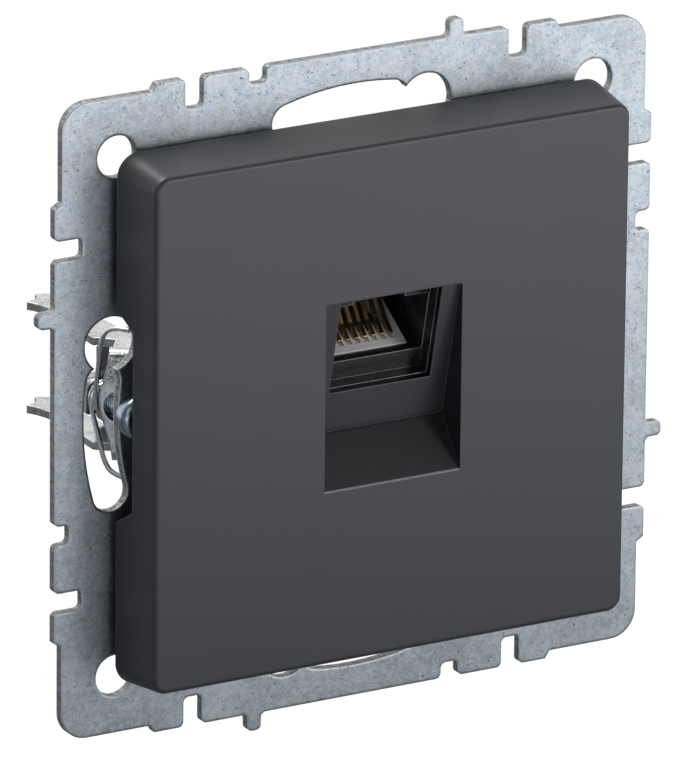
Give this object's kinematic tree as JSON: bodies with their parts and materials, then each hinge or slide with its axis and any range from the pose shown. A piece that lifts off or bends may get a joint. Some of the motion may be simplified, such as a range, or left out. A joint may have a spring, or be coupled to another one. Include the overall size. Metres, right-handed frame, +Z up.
{
  "type": "ethernet socket",
  "caption": "Flush mounted network socket with a slanted port in a square cover on a stamped mounting plate, and spreading screw claws behind it for a round wall box.",
  "frame": {"origin": "centre of the mounting plate, in its back face, which is the wall's plane", "axes": "+X right and +Z up as seen from the front, the front faces -Y, +Y goes into the wall"},
  "size_m": [0.0746, 0.0312, 0.0746],
  "materials": {
    "zinc_plate": "mottled zinc plating",
    "cover_plastic": "fine matte",
    "carrier_plastic": "gloss",
    "jack_plastic": "gloss",
    "comb_plastic": "satin",
    "gilt_contact": "gilt",
    "board_laminate": "lacquered",
    "block_plastic": "satin",
    "tinned_blade": "tinned",
    "claw_steel": "stamped, bright",
    "screw_steel": "blue zinc",
    "nut_steel": "zinc",
    "spring_steel": "drawn wire"
  },
  "bodies": {
    "frame": {"mounting_plate": "zinc_plate", "cover": "cover_plastic", "carrier": "carrier_plastic", "jack_housing": "jack_plastic", "contact_carrier": "comb_plastic", "circuit_board": "board_laminate", "idc_block_left": "block_plastic", "idc_block_right": "block_plastic", "contact_1": "gilt_contact", "idc_contact_1": "tinned_blade", "contact_2": "gilt_contact", "idc_contact_2": "tinned_blade", "contact_3": "gilt_contact", "idc_contact_3": "tinned_blade", "contact_4": "gilt_contact", "idc_contact_4": "tinned_blade", "contact_5": "gilt_contact", "idc_contact_5": "tinned_blade", "contact_6": "gilt_contact", "idc_contact_6": "tinned_blade", "contact_7": "gilt_contact", "idc_contact_7": "tinned_blade", "contact_8": "gilt_contact", "idc_contact_8": "tinned_blade", "claw_spring_left": "spring_steel", "claw_spring_right": "spring_steel"},
    "claw_left": {"claw_left": "claw_steel"},
    "claw_right": {"claw_right": "claw_steel"},
    "claw_screw_left": {"claw_screw_left": "screw_steel"},
    "claw_screw_right": {"claw_screw_right": "screw_steel"},
    "claw_nut_left": {"claw_nut_left": "nut_steel"},
    "claw_nut_right": {"claw_nut_right": "nut_steel"}
  },
  "joints": [
    {"name": "claw_screw_left_turn", "type": "hinge", "parent": "frame", "child": "claw_screw_left", "pos_m": [-0.0259, 0, 0], "axis": [0, 1, 0], "range_deg": [0, 2520]},
    {"name": "claw_left_swing", "type": "hinge", "parent": "frame", "child": "claw_left", "pos_m": [-0.0238, 0.00035, 0], "axis": [0, 0, 1], "range_deg": [0, 33], "deforming": ["claw_spring_left"]},
    {"name": "claw_nut_left_slide", "type": "slide", "parent": "frame", "child": "claw_nut_left", "axis": [0, -1, 0], "range_m": [0, 0.00315], "deforming": ["claw_spring_left"]},
    {"name": "claw_screw_right_turn", "type": "hinge", "parent": "frame", "child": "claw_screw_right", "pos_m": [0.0259, 0, 0], "axis": [0, 1, 0], "range_deg": [0, 2520]},
    {"name": "claw_right_swing", "type": "hinge", "parent": "frame", "child": "claw_right", "pos_m": [0.0238, 0.00035, 0], "axis": [0, 0, -1], "range_deg": [0, 33], "deforming": ["claw_spring_right"]},
    {"name": "claw_nut_right_slide", "type": "slide", "parent": "frame", "child": "claw_nut_right", "axis": [0, -1, 0], "range_m": [0, 0.00315], "deforming": ["claw_spring_right"]}
  ],
  "couplings": [
    {"joint": "claw_left_swing", "follows": "claw_screw_left_turn", "ratio": 0.013095},
    {"joint": "claw_nut_left_slide", "follows": "claw_screw_left_turn", "m_per_rad": 0.000071619},
    {"joint": "claw_right_swing", "follows": "claw_screw_right_turn", "ratio": 0.013095},
    {"joint": "claw_nut_right_slide", "follows": "claw_screw_right_turn", "m_per_rad": 0.000071619}
  ]
}
